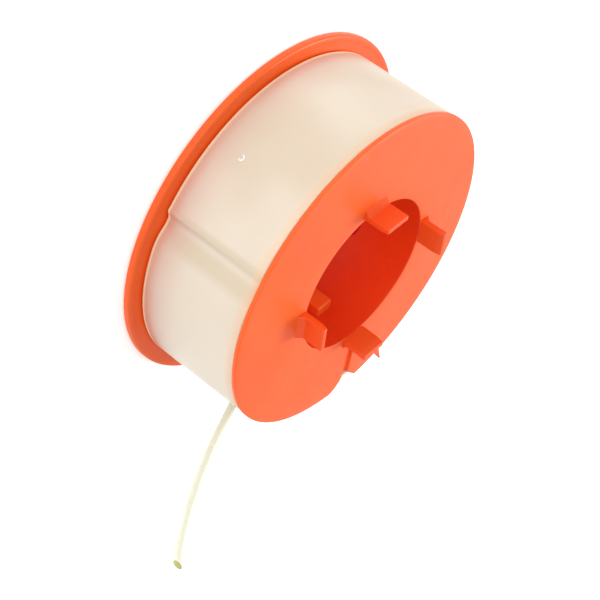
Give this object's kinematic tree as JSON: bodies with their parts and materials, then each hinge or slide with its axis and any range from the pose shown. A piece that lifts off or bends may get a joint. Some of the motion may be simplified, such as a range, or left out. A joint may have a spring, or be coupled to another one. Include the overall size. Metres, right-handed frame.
{
  "type": "trimmer line spool",
  "caption": "Flanged spool of thick nylon line with drive tabs round its bore, a line notch and a milky retaining sleeve that the line comes out of.",
  "frame": {"origin": "centre of the rear flange's outer face, on the spool axis", "axes": "+Z along the spool axis from the rear flange towards the front flange and its drive tabs; +X roughly along the free end of the line; the notch in the front flange lies at 55 degrees from +X towards +Y"},
  "size_m": [0.1192, 0.0878, 0.0377],
  "materials": {
    "orange_plastic": "satin injection-moulded orange plastic",
    "milky_plastic": "thin milky translucent plastic",
    "nylon_line": "slightly glossy natural nylon"
  },
  "bodies": {
    "spool": {"hub_tube": "orange_plastic", "rear_flange": "orange_plastic", "front_flange": "orange_plastic", "rim_barb": "orange_plastic", "drive_tab_1": "orange_plastic", "drive_tab_2": "orange_plastic", "drive_tab_3": "orange_plastic", "drive_tab_4": "orange_plastic", "inner_lug_1": "orange_plastic", "inner_lug_2": "orange_plastic", "inner_lug_3": "orange_plastic", "inner_lug_4": "orange_plastic", "winding": "nylon_line"},
    "sleeve": {"sleeve": "milky_plastic", "exit_grommet": "milky_plastic", "gate_mark": "milky_plastic", "line_tail": "nylon_line"}
  },
  "joints": [
    {"name": "sleeve_spin", "type": "hinge", "parent": "spool", "child": "sleeve", "pos_m": [0, 0, 0.0151], "axis": [0, 0, 1], "continuous": true}
  ]
}
